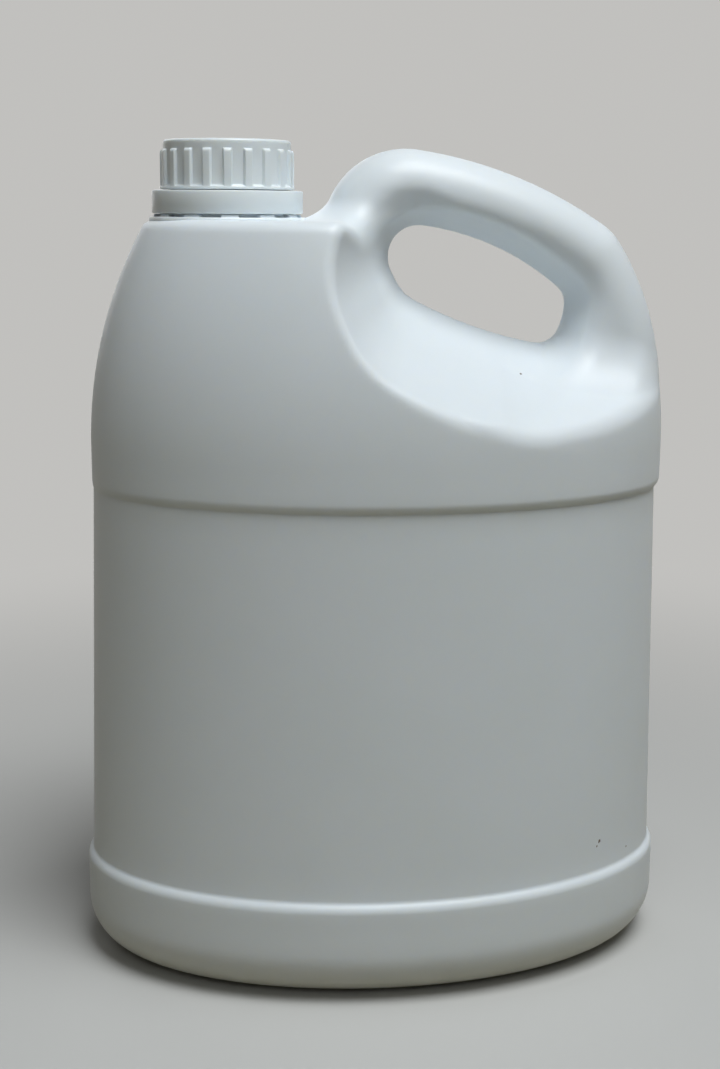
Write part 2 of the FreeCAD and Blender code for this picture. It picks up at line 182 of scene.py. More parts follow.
def finish_with(piece: bpy.types.Object, kind: str, **settings: object) -> None:
    """Add a modifier to a piece and apply it."""
    pick(piece)
    modifier = piece.modifiers.new(kind.lower(), kind)
    for name, value in settings.items():
        setattr(modifier, name, value)
    bpy.ops.object.modifier_apply(modifier=modifier.name)


def combine(piece: bpy.types.Object, how: Cut, tool: bpy.types.Object) -> None:
    """Add a closed solid to a piece, or remove it, and delete the tool."""
    finish_with(piece, "BOOLEAN", operation=how.value, object=tool, solver="MANIFOLD")
    bpy.data.objects.remove(tool)


def slice_above(piece: bpy.types.Object, height: float) -> None:
    """Keep what lies above a height and leave the cut open."""
    with editing(piece):
        place = (0, 0, height * MM)
        bpy.ops.mesh.bisect(plane_co=place, plane_no=(0, 0, 1), clear_inner=True, use_fill=False)


def bridge_halves(lower: bpy.types.Object, upper: bpy.types.Object) -> bpy.types.Object:
    """Join two open shells and bridge their open loops into one closed skin."""
    pick(lower, upper)
    bpy.ops.object.join()
    with editing(lower):
        bpy.ops.mesh.select_mode(type="EDGE")
        bpy.ops.mesh.select_all(action="DESELECT")
        bpy.ops.mesh.select_non_manifold(extend=False)
        bpy.ops.mesh.bridge_edge_loops()
        bpy.ops.mesh.select_mode(type="VERT")
        face_outwards()
    return lower


def shade(piece: bpy.types.Object, angle: float) -> None:
    """Shade a piece smooth, apart from edges sharper than an angle in degrees."""
    pick(piece)
    bpy.ops.object.shade_smooth_by_angle(angle=math.radians(angle), keep_sharp_edges=False)


# ---------------------------------------------------------------- outlines and levels


@dataclass(frozen=True)
class Corner:
    """A corner circle of an outline, and the bow that runs on to the next corner."""

    x: float
    z: float
    radius: float
    bow: float


@dataclass
class Level:
    """How far points lie outside a form, in millimetres, and the way that grows."""

    value: np.ndarray
    slope: np.ndarray

    def turned(self) -> "Level":
        """The level of the space round the form."""
        return Level(-self.value, -self.slope)


def round_both(first: Level, second: Level, radius: np.ndarray | float) -> Level:
    """What two forms share, with the edge between them rounded.

    The rounding fades where the two surfaces run the same way, so that one surface that
    both forms share stays where it is.

    Args:
        first: the level of one form.
        second: the level of the other.
        radius: the radius on an edge of 90 degrees or less.

    Returns:
        The level of the shared form.
    """
    lengths = np.linalg.norm(first.slope, axis=1) * np.linalg.norm(second.slope, axis=1)
    lean = (first.slope * second.slope).sum(1) / np.maximum(lengths, TINY)
    reach = radius * np.clip(1 - lean, 0, 1)
    in_first = np.maximum(first.value + reach, 0)
    in_second = np.maximum(second.value + reach, 0)
    corner = np.hypot(in_first, in_second)
    value = np.minimum(-reach, np.maximum(first.value, second.value)) + corner
    blended = (in_first[:, None] * first.slope + in_second[:, None] * second.slope)
    blended /= np.maximum(corner, TINY)[:, None]
    nearer = np.where((first.value > second.value)[:, None], first.slope, second.slope)
    both = ((in_first > 0) & (in_second > 0))[:, None]
    return Level(value, np.where(both, blended, nearer))


def round_either(first: Level, second: Level, radius: np.ndarray | float) -> Level:
    """Two forms in one, with the valley between them rounded."""
    return round_both(first.turned(), second.turned(), radius).turned()


def smooth_ramp(amounts: np.ndarray, start: float, end: float) -> np.ndarray:
    """Nought up to start, one from end, and a smooth rise between."""
    share = np.clip((amounts - start) / (end - start), 0, 1)
    return share * share * (3 - 2 * share)


@dataclass(frozen=True)
class Arc:
    """A clockwise arc of an outline, with the ways that its ends lie from its centre."""

    x: float
    z: float
    radius: float
    start: float
    end: float

    def holds(self, dx: np.ndarray, dz: np.ndarray) -> np.ndarray:
        """Whether ways from the centre lie within the arc's sector."""
        after_start = math.cos(self.start) * dz - math.sin(self.start) * dx <= 0
        before_end = math.sin(self.end) * dx - math.cos(self.end) * dz <= 0
        return after_start & before_end


class BowedOutline:
    """A closed outline on the parting plane: corner arcs joined by outward bows."""

    def __init__(self, *corners: Corner) -> None:
        """Work out the arcs.

        Args:
            corners: the corners, clockwise.
        """
        count = len(corners)
        bows = [self.bow_centre(corners[i], corners[(i + 1) % count]) for i in range(count)]
        self.arcs: list[Arc] = []
        for number, corner in enumerate(corners):
            before, after = bows[number - 1], bows[number]
            following = corners[(number + 1) % count]
            start = math.atan2(corner.z - before[1], corner.x - before[0])
            turn = math.atan2(corner.z - after[1], corner.x - after[0])
            end = math.atan2(following.z - after[1], following.x - after[0])
            self.arcs.append(Arc(corner.x, corner.z, corner.radius, start, turn))
            self.arcs.append(Arc(*after, corner.bow, turn, end))

    @staticmethod
    def bow_centre(start: Corner, end: Corner) -> tuple[float, float]:
        """The centre of the bow that holds both corner circles and touches them.

        Args:
            start: the corner that the bow leaves.
            end: the corner that it meets.

        Returns:
            The centre's X and Z.
        """
        span = math.hypot(end.x - start.x, end.z - start.z)
        ux, uz = (end.x - start.x) / span, (end.z - start.z) / span
        near, far = start.bow - start.radius, start.bow - end.radius
        along = (near**2 - far**2 + span**2) / (2 * span)
        aside = math.sqrt(near**2 - along**2)
        return start.x + along * ux + aside * uz, start.z + along * uz - aside * ux

    def level(self, x: np.ndarray, z: np.ndarray) -> tuple[np.ndarray, np.ndarray, np.ndarray]:
        """How far points lie outside the outline.

        Args:
            x: the points' places across.
            z: the points' heights.

        Returns:
            The distances, and their slopes across and up.
        """
        best = np.full(x.shape, -FAR)
        slope_x, slope_z = np.zeros(x.shape), np.zeros(x.shape)
        for arc in self.arcs:
            dx, dz = x - arc.x, z - arc.z
            reach = np.maximum(np.hypot(dx, dz), TINY)
            nearer = arc.holds(dx, dz) & (reach - arc.radius > best)
            best = np.where(nearer, reach - arc.radius, best)
            slope_x = np.where(nearer, dx / reach, slope_x)
            slope_z = np.where(nearer, dz / reach, slope_z)
        return best, slope_x, slope_z

    def ring(self, depth: float, growth: float, steps: int = 10) -> np.ndarray:
        """Points round the outline, grown, at a depth from the parting plane.

        Args:
            depth: the ring's place on Y.
            growth: how far the outline is grown.
            steps: points on each arc.

        Returns:
            One row for each point.
        """
        points = []
        for arc in self.arcs:
            sweep = (arc.end - arc.start) % -math.tau
            out = arc.radius + growth
            for step in range(steps):
                turn = arc.start + sweep * step / steps
                points.append(
                    (arc.x + out * math.cos(turn), depth, arc.z + out * math.sin(turn))
                )
        return np.array(points)


# ---------------------------------------------------------------- the blown bottle


@dataclass(frozen=True)
class Oval:
    """A level ellipse of the body."""

    half_width: float
    half_depth: float
    height: float = 0.0
    across: float = 0.0

    def towards(self, other: "Oval", share: float, height: float) -> "Oval":
        """An oval between this one and another.

        Args:
            other: the oval that it nears.
            share: how near it comes, from nought to one.
            height: its own height.

        Returns:
            The new oval.
        """
        width = self.half_width + (other.half_width - self.half_width) * share
        depth = self.half_depth + (other.half_depth - self.half_depth) * share
        return Oval(width, depth, height, self.across + (other.across - self.across) * share)

    def ring(self, count: int) -> np.ndarray:
        """Points round the ellipse, counter-clockwise from above."""
        turns = np.arange(count) * math.tau / count
        return np.column_stack(
            (
                self.across + self.half_width * np.cos(turns),
                self.half_depth * np.sin(turns),
                np.full(count, self.height),
            )
        )


@dataclass(frozen=True)
class BlownBody:
    """The outer form of the bottle: oval body, set-back handle and drafted finger hole."""

    band_half_width: float = 98.6
    band_half_depth: float = 60.1
    corner_radius: float = 18.0
    standing_ring: float = 7.6
    push_up_height: float = 3.5
    push_up_slope: float = 3.0
    rim_foot: float = 31.9
    rim_radius: float = 3.6
    rim_valley: float = 1.8
    panel_low: tuple[float, float] = (96.8, 58.3)
    panel_high: tuple[float, float] = (93.6, 56.4)
    panel_top: float = 158.9
    step_valley: float = 0.6
    step_radius: float = 4.3
    upper_half_width: float = 94.6
    upper_half_depth: float = 57.8
    upper_offset: float = 0.6
    shoulder_start: float = 173.0
    side_radius: float = 145.0
    front_radius: float = 205.0
    platform: float = 245.0
    platform_rim: float = 5.0
    handle_half_depth: float = 15.0
    handle_edge: float = 13.0
    draft: float = 25.6
    ridge_softness: float = 0.9
    hole_edge: float = 4.5
    hole_edge_depths: tuple[float, float] = (16.0, 30.0)
    scallop_tip_edge: float = 2.5
    scallop_edge: float = 7.0
    scallop_fade: tuple[float, float] = (-12.0, 30.0)
    valley: float = 11.0
    heel_valley: float = 22.0
    heel_edge: float = 10.0
    heel_fade: tuple[float, float] = (35.0, 62.0)
    root_edge: float = 11.0
    root_fade: tuple[float, float] = (5.0, 25.0)
    root_depths: tuple[float, float] = (12.0, 54.0)
    set_back_depths: tuple[float, float] = (8.0, 16.0)
    seam_gap: float = 1.5
    overlap: float = 8.0
    rough_around: int = 128
    rough_overlap: float = 15.0
    rough_flat: float = 8.0
    rough_bevel: float = 6.0
    core_reach: float = 10.0
    least_share: float = 0.05
    least_slope: float = 0.25
    stride: float = 2.5
    smoothings: int = 3
    last_rounds: int = 10
    handle: BowedOutline = field(
        default_factory=lambda: BowedOutline(
            Corner(8.0, 241.3, 26.3, 147.0),
            Corner(63.9, 229.7, 17.2, 91.0),
            Corner(60.8, 181.5, 33.0, 200.0),
            Corner(2.0, 218.0, 20.0, 200.0),
        )
    )
    hole: BowedOutline = field(
        default_factory=lambda: BowedOutline(
            Corner(12.6, 233.7, 9.5, 88.0),
            Corner(55.3, 218.9, 6.0, 21.0),
            Corner(53.0, 213.1, 7.0, 146.0),
            Corner(17.4, 231.5, 12.7, 242.0),
        )
    )
    relief: BowedOutline = field(
        default_factory=lambda: BowedOutline(
            Corner(39.0, 262.0, 12.0, 5000.0),
            Corner(115.2, 262.0, 12.0, 5000.0),
            Corner(115.2, 212.0, 12.0, 5000.0),
            Corner(52.0, 231.0, 25.0, 5000.0),
        )
    )

    def half_sizes(self, heights: np.ndarray) -> list[tuple[np.ndarray, np.ndarray]]:
        """The upper body's half width and half depth at some heights, each with its slope."""
        rise = np.maximum(heights - self.shoulder_start, 0)
        sizes = []
        for radius, half in (
            (self.side_radius, self.upper_half_width),
            (self.front_radius, self.upper_half_depth),
        ):
            left = np.sqrt(radius**2 - rise**2)
            sizes.append((half - radius + left, -rise / left))
        return sizes

    def side(self, points: np.ndarray) -> Level:
        """The level of the upper body's oval side, without its platform."""
        x, y = points[:, 0] - self.upper_offset, points[:, 1]
        (wide, wide_slope), (deep, deep_slope) = self.half_sizes(points[:, 2])
        share = np.maximum(np.sqrt((x / wide) ** 2 + (y / deep) ** 2), self.least_share)
        fall = (x**2 * wide_slope / wide**3 + y**2 * deep_slope / deep**3) / share
        slope = np.column_stack((x / (wide**2 * share), y / (deep**2 * share), -fall))
        steepness = np.maximum(np.linalg.norm(slope, axis=1), TINY)
        return Level((share - 1) / steepness, slope / steepness[:, None])

    def core(self, outline: BowedOutline, points: np.ndarray) -> Level:
        """The level of a mould core that widens both ways from the parting plane."""
        distance, slope_x, slope_z = outline.level(points[:, 0], points[:, 2])
        depth = np.hypot(points[:, 1], self.ridge_softness)
        taper, cosine = math.tan(math.radians(self.draft)), math.cos(math.radians(self.draft))
        slope = np.column_stack((slope_x, -taper * points[:, 1] / depth, slope_z))
        return Level((distance - taper * depth) * cosine, slope * cosine)

    def level(self, points: np.ndarray) -> Level:
        """The level of the whole upper form.

        Args:
            points: rows of X, Y, Z in millimetres.

        Returns:
            How far each lies outside the form, with its slope.
        """
        depth = np.abs(points[:, 1])
        up = np.tile((0.0, 0.0, 1.0), (len(points), 1))
        top = Level(points[:, 2] - self.platform, up)
        torso = round_both(self.side(points), top, self.platform_rim)
        relief = self.core(self.relief, points).turned()
        along = smooth_ramp(points[:, 0], *self.scallop_fade)
        edge = self.scallop_tip_edge + (self.scallop_edge - self.scallop_tip_edge) * along
        torso = round_both(torso, relief, edge)
        distance, slope_x, slope_z = self.handle.level(points[:, 0], points[:, 2])
        rim = Level(distance, np.column_stack((slope_x, np.zeros(len(points)), slope_z)))
        sideways = np.column_stack((up[:, 0], np.sign(points[:, 1]), up[:, 1]))
        face = Level(depth - self.handle_half_depth, sideways)
        handle = round_both(rim, face, self.handle_edge)
        at_heel = smooth_ramp(points[:, 0], *self.heel_fade)
        valley = self.valley + (self.heel_valley - self.valley) * at_heel
        form = round_either(torso, handle, valley)
        outwards = smooth_ramp(depth, *self.hole_edge_depths)
        soft = self.hole_edge + (edge - self.hole_edge) * outwards
        set_back = smooth_ramp(depth, *self.set_back_depths)
        soft += (self.heel_edge - soft) * at_heel * set_back
        at_root = 1 - smooth_ramp(points[:, 0], *self.root_fade)
        at_root *= 1 - smooth_ramp(depth, *self.root_depths)
        soft += (self.root_edge - soft) * at_root * set_back
        return round_both(form, self.core(self.hole, points).turned(), soft)

    def settle(self, piece: bpy.types.Object, depth: float, rounds: int = 6) -> None:
        """Move a mesh's corners onto the form, at a depth below its surface.

        Args:
            piece: the mesh, which already lies near the form.
            depth: how far below the surface it comes to lie.
            rounds: how many steps are taken.
        """
        flat = np.empty(len(piece.data.vertices) * 3)
        piece.data.vertices.foreach_get("co", flat)
        points = flat.reshape(-1, 3) / MM
        for _ in range(rounds):
            here = self.level(points)
            steepness = np.maximum((here.slope**2).sum(1), self.least_slope)
            step = np.clip(-(here.value + depth) / steepness, -self.stride, self.stride)
            points += step[:, None] * here.slope
        piece.data.vertices.foreach_set("co", (points * MM).ravel())
        piece.data.update()

    def lower_ovals(self, inset: float) -> list[Oval]:
        """The ovals of the lower body, from the raised middle of the base upwards.

        Args:
            inset: how far inside the outer surface they lie.

        Returns:
            The ovals in order.
        """
        flat_width = self.band_half_width - self.corner_radius
        flat_depth = self.band_half_depth - self.corner_radius
        foot_width = flat_width - self.standing_ring + inset
        foot_depth = flat_depth - self.standing_ring + inset
        ovals = []
        for share in np.linspace(0, 1, 6):
            height = self.push_up_height * (1 + math.cos(math.pi * share)) / 2 + inset
            drawn_in = self.push_up_slope * (1 - share)
            ovals.append(Oval(foot_width - drawn_in, foot_depth - drawn_in, height))
        corner = self.corner_radius - inset
        for turn in np.linspace(0, math.pi / 2, 15):
            out = corner * math.sin(turn)
            height = inset + corner * (1 - math.cos(turn))
            ovals.append(Oval(flat_width + out, flat_depth + out, height))
        band = Oval(self.band_half_width - inset, self.band_half_depth - inset)
        low, high, top = (
            Oval(width - inset, depth - inset, across=across)
            for width, depth, across in (
                (*self.panel_low, 0.0),
                (*self.panel_high, 0.0),
                (self.upper_half_width, self.upper_half_depth, self.upper_offset),
            )
        )
        for share in (0.3, 0.6, 0.85):
            height = self.corner_radius + (self.rim_foot - self.corner_radius) * share
            ovals.append(band.towards(band, share, height))
        drop = self.band_half_width - self.panel_low[0]
        for share, up in self.double_bend(drop, self.rim_radius, self.rim_valley):
            ovals.append(band.towards(low, share, self.rim_foot + up - inset))
        start, end = ovals[-1].height, self.panel_top + inset
        for share in np.linspace(0, 1, 16)[1:-1]:
            ovals.append(low.towards(high, share, start + (end - start) * share))
        swell = self.upper_half_depth - self.panel_high[1]
        for share, up in self.double_bend(swell, self.step_valley, self.step_radius):
            ovals.append(high.towards(top, share, end + up))
        start, end = ovals[-1].height, self.shoulder_start - self.seam_gap
        for share in (0.35, 0.7, 1.0):
            ovals.append(top.towards(top, share, start + (end - start) * share))
        return ovals

    @staticmethod
    def double_bend(offset: float, first: float, second: float) -> list[tuple[float, float]]:
        """A step made of two arcs that touch, up a wall.

        Args:
            offset: how far the step goes sideways.
            first: the radius of the lower arc.
            second: the radius of the upper one.

        Returns:
            The share of the offset and the rise of each point.
        """
        turn = math.acos(1 - offset / (first + second))
        steps = np.linspace(0, turn, 7)
        lower = [(first * (1 - math.cos(t)), first * math.sin(t)) for t in steps]
        height = (first + second) * math.sin(turn)
        upper = [
            (offset - second * (1 - math.cos(t)), height - second * math.sin(t))
            for t in steps[-2::-1]
        ]
        return [(side / offset, up) for side, up in lower + upper]

    def rough_upper(self, name: str) -> bpy.types.Object:
        """The upper form from plain solids, to be remeshed and settled."""
        heights = np.linspace(self.shoulder_start - self.rough_overlap, self.platform, 12)
        (widths, _), (depths, _) = self.half_sizes(heights)
        sizes, count = zip(widths, depths, heights), self.rough_around
        rough = stack_rings(name, [Oval(*size, self.upper_offset).ring(count) for size in sizes])
        taper = math.tan(math.radians(self.draft))
        reach = self.band_half_depth + self.core_reach
        cores = [
            stack_rings(
                f"{name}_{label}",
                [outline.ring(y, taper * abs(y)) for y in (-reach, 0, reach)],
            )
            for label, outline in (("relief", self.relief), ("hole", self.hole))
        ]
        half, flat, drawn_in = self.handle_half_depth, self.rough_flat, -self.rough_bevel
        stations = ((-half, drawn_in), (-flat, 0), (flat, 0), (half, drawn_in))
        rings = [self.handle.ring(y, grow) for y, grow in stations]
        slab = stack_rings(f"{name}_handle", rings)
        combine(rough, Cut.REMOVE, cores[0])
        combine(rough, Cut.ADD, slab)
        combine(rough, Cut.REMOVE, cores[1])
        return rough

    def skin(self, name: str, inset: float, grain: float, around: int) -> bpy.types.Object:
        """A closed skin of the body at a depth below its outer surface.

        Args:
            name: the object's name.
            inset: the depth below the outer surface.
            grain: the size of the upper form's faces.
            around: how many faces go round the lower body.

        Returns:
            The new object.
        """
        upper = self.rough_upper(f"{name}_upper")
        finish_with(upper, "REMESH", mode="VOXEL", voxel_size=grain * MM)
        slice_above(upper, self.shoulder_start - self.overlap)
        for _ in range(self.smoothings):
            self.settle(upper, inset)
            finish_with(upper, "SMOOTH", factor=0.5, iterations=3)
        self.settle(upper, inset, self.last_rounds)
        slice_above(upper, self.shoulder_start)
        rings = [oval.ring(around) for oval in self.lower_ovals(inset)]
        lower = stack_rings(name, rings, capped=False)
        return bridge_halves(lower, upper)


@dataclass(frozen=True)
class Thread:
    """A right-handed thread on an upright axis, faded in and out at its ends."""

    root: float
    crest: float
    start: float
    turns: float
    pitch: float = 25.4 / 6
    root_width: float = 1.9
    crest_width: float = 0.7
    fade: float = 0.1
    tip: float = 0.15
    steps: int = 48

    def ridge(self, name: str, axis_x: float) -> bpy.types.Object:
        """The thread's ridge as a closed solid.

        Args:
            name: the object's name.
            axis_x: where the axis stands on X.

        Returns:
            The new object.
        """
        sections = []
        for share in np.linspace(0, 1, round(self.turns * self.steps) + 1):
            turn = share * self.turns * math.tau
            height = self.start + share * self.turns * self.pitch
            ends = min(share, 1 - share) * self.turns / self.fade
            crest = self.root + (self.crest - self.root) * min(1, self.tip + ends)
            corners = (
                (self.root, -self.root_width / 2),
                (crest, -self.crest_width / 2),
                (crest, self.crest_width / 2),
                (self.root, self.root_width / 2),
            )
            out, up = np.array(corners).T
            spots = (axis_x + out * math.cos(turn), out * math.sin(turn), height + up)
            sections.append(np.column_stack(spots))
        return stack_rings(name, sections)


@dataclass(frozen=True)
class Lobes:
    """Ribs or lugs spaced evenly round an upright axis.

    The two shares place a ring's points on a lobe's face and past the foot of its flank.
    """

    axis_x: float
    count: int
    width: float
    flank: float
    radius: float
    phase: float = 0.0
    face_shares: tuple[float, ...] = (0.0, 0.5, 0.92)
    foot_shares: tuple[float, ...] = (1.05, 1.3)

    def ring(self, out: float, lobe: float, height: float) -> np.ndarray:
        """A level ring with its lobes.

        Args:
            out: the ring's radius between the lobes.
            lobe: how far the lobes stand out of it.
            height: the ring's height.

        Returns:
            One row for each point.
        """
        half, ramp = self.width / 2 / self.radius, self.flank / 2 / self.radius
        flank = half + ramp * np.linspace(-1, 1, 5)
        face = (half - ramp) * np.array(self.face_shares)
        foot = flank[-1] * np.array(self.foot_shares)
        between = np.linspace(foot[-1], math.pi / self.count, 4)[1:]
        one_side = np.concatenate((face, flank, foot, between))
        offsets = np.concatenate((-one_side[-2:0:-1], one_side))
        shares = 1 - smooth_ramp(np.abs(offsets), half - ramp, half + ramp)
        rows = []
        for number in range(self.count):
            turns = self.phase + number * math.tau / self.count + offsets
            reach = out + lobe * shares
            across, heights = self.axis_x + reach * np.cos(turns), np.full(len(turns), height)
            rows.append(np.column_stack((across, reach * np.sin(turns), heights)))
        return np.concatenate(rows)


def turned_solid(
    name: str, axis_x: float, stages: Sequence[tuple[float, float]]
) -> bpy.types.Object:
    """A closed round solid on an upright axis, through stages of radius and height."""
    rings = [Oval(out, out, up, axis_x).ring(ROUND_STEPS) for out, up in stages]
    return stack_rings(name, rings)


def dress(
    piece: bpy.types.Object, material: bpy.types.Material, slot: Slot, body: BodyName, node: str
) -> None:
    """Give a finished piece its material, its place in the frame and the node it stands for."""
    piece.data.materials.clear()
    piece.data.materials.append(material)
    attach(piece, body.value)
    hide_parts(node)
    log.info("%s: %d faces, stands for %s", piece.name, len(piece.data.polygons), node)


@dataclass(frozen=True)
class Neck:
    """The neck finish: boss with lugs, collar, threaded tube with a bead, and its mouth."""

    axis_x: float
    platform: float
    wall: float = 1.2
    boss: float = 25.0
    boss_height: float = 0.8
    lug_out: float = 1.8
    lug_height: float = 0.9
    collar: float = 21.6
    collar_height: float = 6.5
    tube: float = 17.6
    bead: float = 18.9
    bead_foot: float = 9.3
    bead_height: float = 1.0
    height: float = 21.0
    mouth: float = 15.5
    edge: float = 0.3
    bore_sink: float = 4.0
    bore_rise: float = 2.0
    lug_count: int = 12
    lug_width: float = 5.4
    lug_flank: float = 0.6
    thread_sink: float = 0.4
    thread_crest: float = 18.65
    thread_start: float = 12.0
    thread_turns: float = 1.75

    def outside(self) -> bpy.types.Object:
        """The neck's outer form, closed and sunk into the platform."""
        spacing = (self.lug_count, self.lug_width, self.lug_flank)
        lugs = Lobes(self.axis_x, *spacing, self.collar)
        lug_top = self.boss_height + self.lug_height
        bead_top = self.bead_foot + self.bead_height
        edge = self.edge
        stages = (
            (self.boss, 0, -self.wall / 2),
            (self.boss, 0, self.boss_height - edge),
            (self.boss - edge, 0, self.boss_height),
            (self.collar + edge, self.lug_out, self.boss_height),
            (self.collar, self.lug_out, self.boss_height + edge),
            (self.collar, self.lug_out, lug_top - edge),
            (self.collar, self.lug_out - edge, lug_top),
            (self.collar, 0, lug_top),
            (self.collar, 0, self.collar_height - edge),
            (self.collar - edge, 0, self.collar_height),
            (self.tube + edge, 0, self.collar_height),
            (self.tube, 0, self.collar_height + edge),
            (self.tube, 0, self.bead_foot - edge),
            (self.bead - edge, 0, self.bead_foot),
            (self.bead, 0, self.bead_foot + edge),
            (self.bead, 0, bead_top - edge),
            (self.bead - edge, 0, bead_top),
            (self.tube, 0, bead_top + edge),
            (self.tube, 0, self.height - 2 * edge),
            (self.tube - edge / 2, 0, self.height - edge / 2),
            (self.tube - 2 * edge, 0, self.height),
        )
        rings = [lugs.ring(out, lobe, self.platform + up) for out, lobe, up in stages]
        neck = stack_rings("neck_outside", rings)
        root, start = self.tube - self.thread_sink, self.platform + self.thread_start
        thread = Thread(root, self.thread_crest, start, self.thread_turns)
        combine(neck, Cut.ADD, thread.ridge("neck_thread", self.axis_x))
        return neck

    def bore(self) -> bpy.types.Object:
        """The space inside the neck, with a rounded rim at the mouth."""
        edge = self.edge
        stages = (
            (self.mouth, -self.wall - self.bore_sink),
            (self.mouth, self.height - 2 * edge),
            (self.mouth + edge / 2, self.height - edge / 2),
            (self.mouth + 2 * edge, self.height),
            (self.mouth + 2 * edge, self.height + self.bore_rise),
        )
        lifted = [(out, self.platform + up) for out, up in stages]
        return turned_solid("neck_bore", self.axis_x, lifted)


@dataclass(frozen=True)
class Bottle:
    """The blown bottle with its neck, hollow all through."""

    finish: "Plastic"
    wall: float = 1.2
    grain: float = 1.4
    around: int = 256
    hollow_grain: float = 3.0
    hollow_around: int = 96
    body: BlownBody = field(default_factory=BlownBody)

    def build(self) -> bpy.types.Object:
        """Model the bottle, with its neck under the cap, and dress it."""
        axis_x, *_ = round_node("cap")
        neck = Neck(axis_x, self.body.platform)
        hollow = (self.wall, self.hollow_grain, self.hollow_around)
        shell = self.body.skin("bottle_shell", 0.0, self.grain, self.around)
        combine(shell, Cut.ADD, neck.outside())
        combine(shell, Cut.REMOVE, self.body.skin("bottle_hollow", *hollow))
        combine(shell, Cut.REMOVE, neck.bore())
        shade(shell, angle=45)
        dress(shell, self.finish.material(), Slot.BOTTLE, BodyName.BOTTLE, "bottle")
        return shell


@dataclass(frozen=True)
class TamperRing:
    """The ring that the cap leaves on the neck when it is first unscrewed."""

    finish: "Plastic"
    bore: float = 21.9
    lip: float = 18.4
    lip_height: float = 2.5
    edge: float = 0.35
    swell: float = 0.3
    bevel: float = 0.2

    def build(self) -> bpy.types.Object:
        """Spin the ring's section to the size of its node and dress it."""
        axis_x, radius, foot, top = round_node("tamper_ring")
        edge, lip_foot = self.edge, top - self.lip_height
        swell = edge * self.swell
        section = (
            (self.bore, foot + self.bevel),
            (self.bore + self.bevel, foot),
            (radius - edge, foot),
            (radius - swell, foot + swell),
            (radius, foot + edge),
            (radius, top - edge),
            (radius - swell, top - swell),
            (radius - edge, top),
            (self.lip + self.bevel, top),
            (self.lip, top - self.bevel),
            (self.lip, lip_foot),
            (self.bore, lip_foot),
        )
        ring = spin_section("tamper_band", section, axis_x, ROUND_STEPS)
        shade(ring, angle=35)
        dress(ring, self.finish.material(), Slot.CAP, BodyName.BOTTLE, "tamper_ring")
        return ring


@dataclass(frozen=True)
class ScrewCap:
    """The ribbed screw cap, with its thread inside."""

    finish: "Plastic"
    bore: float = 19.3
    side: float = 20.2
    ledge_height: float = 1.0
    ledge_edge: float = 0.25
    ledge_bevel: float = 0.15
    ledge_bevel_height: float = 0.2
    foot_fillet: float = 0.8
    rib_count: int = 20
    rib_width: float = 2.6
    rib_flank: float = 0.5
    rib_turn: float = -1.5
    rib_middle: float = 20.7
    rib_in: float = 0.1
    rib_top_drop: float = 2.9
    rib_nose: float = 1.2
    side_drop: float = 1.9
    crown: float = 0.9
    crown_flat: float = 2.6
    mouth: float = 0.4
    bore_sink: float = 1.0
    inner_edge: float = 0.3
    thread_sink: float = 0.4
    thread_crest: float = 18.15
    thread_start: float = 4.9
    thread_turns: float = 1.4

    def outline(self, edge: float, foot: float, top: float) -> list[tuple[float, float, float]]:
        """The stages of the cap's outside, from its ledge to its crown.

        Args:
            edge: the ledge's radius.
            foot: the height of the cap's foot.
            top: the height of its top.

        Returns:
            For each stage the radius between the ribs, how far the ribs stand out, and the
            height.
        """
        rib = edge - self.rib_in - self.side
        rib_top, ledge = top - self.rib_top_drop, foot + self.ledge_height
        stages = [
            (edge - self.ledge_edge, 0, foot),
            (edge, 0, foot + self.ledge_edge),
            (edge, 0, ledge - self.ledge_bevel_height),
            (edge - self.ledge_bevel, self.ledge_bevel - self.rib_in, ledge),
        ]
        for turn in np.linspace(0.1, 1, 6) * math.pi / 2:
            out = self.side + self.foot_fillet * (1 - math.sin(turn))
            up = self.foot_fillet * (1 - math.cos(turn))
            stages.append((out, self.side + rib - out, ledge + up))
        nose = rib_top - self.rib_nose
        stages.append((self.side, rib, nose))
        for turn in np.linspace(0, 1, 6)[1:] * math.pi / 2:
            stages.append((self.side, rib * math.cos(turn), nose + self.rib_nose * math.sin(turn)))
        stages.append((self.side, 0, top - self.side_drop))
        for turn in np.linspace(0, 1, 7) * math.pi / 2:
            out = self.side - self.crown * (1 - math.cos(turn))
            stages.append((out, 0, top - self.crown * (1 - math.sin(turn))))
        return [*stages, (self.side - self.crown_flat, 0, top)]

    def build(self) -> bpy.types.Object:
        """Model the cap between its node's foot and top, round the liner, and dress it."""
        axis_x, edge, foot, top = round_node("cap")
        *_, ceiling = round_node("cap_liner")
        shape = (self.rib_count, self.rib_width, self.rib_flank, self.rib_middle)
        ribs = Lobes(axis_x, *shape, math.radians(self.rib_turn))
        stages = self.outline(edge, foot, top)
        cap = stack_rings("screw_cap", [ribs.ring(*stage) for stage in stages])
        inside = (
            (self.bore + self.mouth, foot - self.bore_sink),
            (self.bore + self.mouth, foot),
            (self.bore, foot + self.mouth),
            (self.bore, ceiling - self.inner_edge),
            (self.bore - self.inner_edge, ceiling),
        )
        combine(cap, Cut.REMOVE, turned_solid("cap_inside", axis_x, inside))
        root, start = self.bore + self.thread_sink, foot + self.thread_start
        thread = Thread(root, self.thread_crest, start, self.thread_turns, root_width=1.7)
        combine(cap, Cut.ADD, thread.ridge("cap_thread", axis_x))
        shade(cap, angle=35)
        dress(cap, self.finish.material(), Slot.CAP, BodyName.CAP, "cap")
        return cap


# ---------------------------------------------------------------- finishes


